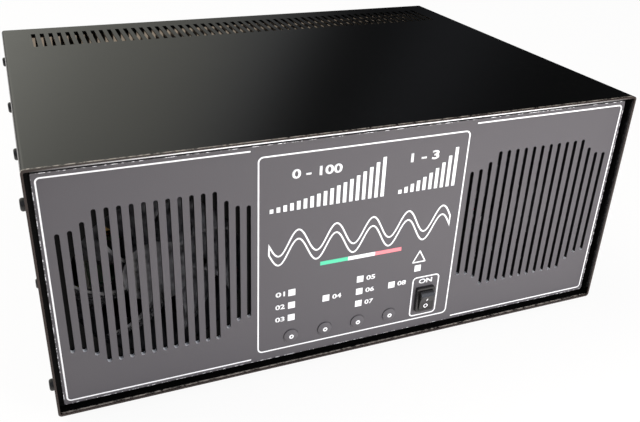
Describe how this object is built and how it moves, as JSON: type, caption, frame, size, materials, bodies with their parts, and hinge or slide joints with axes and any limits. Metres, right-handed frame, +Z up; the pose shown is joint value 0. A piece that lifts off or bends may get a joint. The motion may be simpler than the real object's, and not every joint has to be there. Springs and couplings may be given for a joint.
{
  "type": "hf linear amplifier",
  "caption": "Desk-top short-wave power amplifier in a black sheet-metal case with a grey slotted front plate, cooling fans, bar meters, status lights, keys and a rocker switch.",
  "frame": {"origin": "middle of the footprint, on the surface that the feet stand on", "axes": "+X to the right seen from the front, +Y from the front to the back, +Z up"},
  "size_m": [0.4458, 0.3414, 0.189],
  "materials": {
    "case_black": "satin black powder coat with a fine grain",
    "plate_grey": "warm grey satin paint with white printing",
    "inner_black": "flat black paint",
    "aluminium": "bare drawn aluminium",
    "zinc": "bright zinc plated steel",
    "black_steel": "blackened steel screws",
    "lens": "milky white translucent plastic",
    "rubber": "black rubber",
    "key_grey": "grey plastic keys, printed white",
    "switch_black": "black moulded plastic",
    "fan_black": "black glass-filled plastic",
    "board_green": "green circuit board",
    "part_black": "black moulded components",
    "ferrite": "dark grey ferrite",
    "gold": "gold plating",
    "coil_yellow": "yellow painted iron powder cores",
    "relay_white": "ivory relay covers",
    "nickel": "nickel plating",
    "insulator": "white insulator"
  },
  "bodies": {
    "case": {"top_cover": "case_black", "bottom_cover": "case_black", "rear_panel": "case_black", "front_subpanel": "inner_black", "front_plate": "plate_grey", "rail_upper_left": "aluminium", "rail_upper_right": "aluminium", "rail_lower_left": "aluminium", "rail_lower_right": "aluminium", "power_meter_lens": "lens", "swr_meter_lens": "lens", "status_lens": "lens", "display_board": "board_green", "meter_lamps": "relay_white", "display_pillars": "zinc", "key_switches": "part_black", "switch_housing": "switch_black", "fan_frame_left": "fan_black", "fan_frame_right": "fan_black", "fan_nuts": "zinc", "heat_sink": "aluminium", "amplifier_board": "board_green", "power_transistors": "gold", "output_transformers": "ferrite", "power_supply": "aluminium", "control_board": "board_green", "filter_board": "board_green", "filter_coils": "coil_yellow", "band_relays": "relay_white", "mains_inlet": "part_black", "fuse_holder_1": "part_black", "fuse_holder_2": "part_black", "aerial_socket_1": "nickel", "aerial_socket_2": "nickel", "drive_socket": "nickel", "socket_insulators": "insulator", "relay_jack": "gold", "level_jack": "gold", "earth_post": "nickel", "foot_front_left": "rubber", "foot_front_right": "rubber", "foot_back_left": "rubber", "foot_back_right": "rubber", "foot_screws": "zinc", "side_screws": "black_steel", "rear_screws": "black_steel", "plate_nuts": "zinc", "board_pillars": "zinc"},
    "key_1": {"key_1": "key_grey"},
    "key_2": {"key_2": "key_grey"},
    "key_3": {"key_3": "key_grey"},
    "key_4": {"key_4": "key_grey"},
    "rocker": {"power_rocker": "switch_black"},
    "left_rotor": {"fan_rotor_left": "fan_black"},
    "right_rotor": {"fan_rotor_right": "fan_black"}
  },
  "joints": [
    {"name": "key_1_press", "type": "slide", "parent": "case", "child": "key_1", "axis": [0, 1, 0], "range_m": [0, 0.0008], "stiffness_N_per_m": 1500, "springref_m": -0.0005},
    {"name": "key_2_press", "type": "slide", "parent": "case", "child": "key_2", "axis": [0, 1, 0], "range_m": [0, 0.0008], "stiffness_N_per_m": 1500, "springref_m": -0.0005},
    {"name": "key_3_press", "type": "slide", "parent": "case", "child": "key_3", "axis": [0, 1, 0], "range_m": [0, 0.0008], "stiffness_N_per_m": 1500, "springref_m": -0.0005},
    {"name": "key_4_press", "type": "slide", "parent": "case", "child": "key_4", "axis": [0, 1, 0], "range_m": [0, 0.0008], "stiffness_N_per_m": 1500, "springref_m": -0.0005},
    {"name": "power_switch", "type": "hinge", "parent": "case", "child": "rocker", "pos_m": [0.0566, -0.16393, 0.0402], "axis": [-1, 0, 0], "range_deg": [0, 30]},
    {"name": "left_fan_spin", "type": "hinge", "parent": "case", "child": "left_rotor", "pos_m": [-0.1452, -0.13853, 0.099], "axis": [0, 1, 0], "continuous": true},
    {"name": "right_fan_spin", "type": "hinge", "parent": "case", "child": "right_rotor", "pos_m": [0.1452, -0.13853, 0.099], "axis": [0, 1, 0], "continuous": true}
  ]
}
